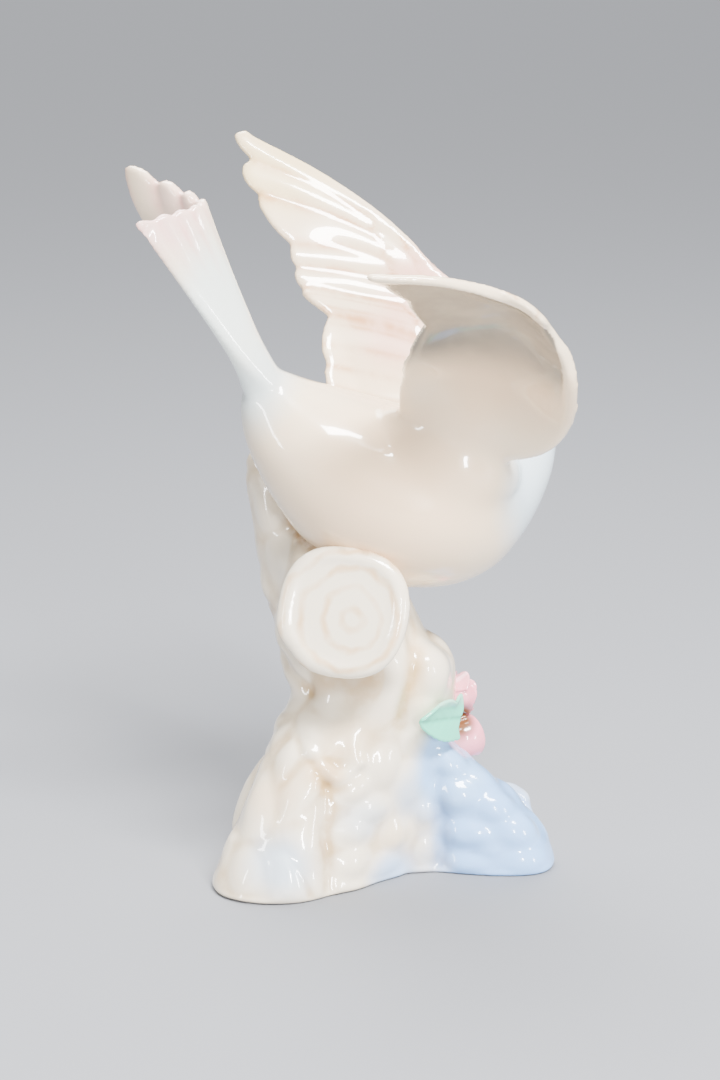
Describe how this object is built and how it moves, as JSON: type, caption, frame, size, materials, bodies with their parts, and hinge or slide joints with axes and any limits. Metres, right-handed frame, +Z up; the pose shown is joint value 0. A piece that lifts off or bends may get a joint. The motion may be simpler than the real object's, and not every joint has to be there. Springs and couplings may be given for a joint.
{
  "type": "glazed porcelain bird figurine",
  "caption": "Glossy pastel porcelain dove landing with raised wings and tail on a sawn, rooted tree stump, with small applied roses and a leaf.",
  "frame": {"origin": "a point of the stump's flat underside, near the middle of its foot", "axes": "+Z up; +X towards the side of the breast, where the roses are; -Y towards the sawn branch stub and the near wing"},
  "size_m": [0.1211, 0.12, 0.2033],
  "materials": {
    "dove_glaze": "clear glaze over warm ivory porcelain",
    "stump_glaze": "clear glaze over ivory, tan and pale blue porcelain",
    "rose_glaze": "clear glaze over pink porcelain",
    "leaf_glaze": "clear glaze over mint porcelain"
  },
  "bodies": {
    "root": {"dove": "dove_glaze", "tree_stump": "stump_glaze", "rose_upper": "rose_glaze", "rose_lower": "rose_glaze", "leaf": "leaf_glaze"}
  },
  "joints": []
}
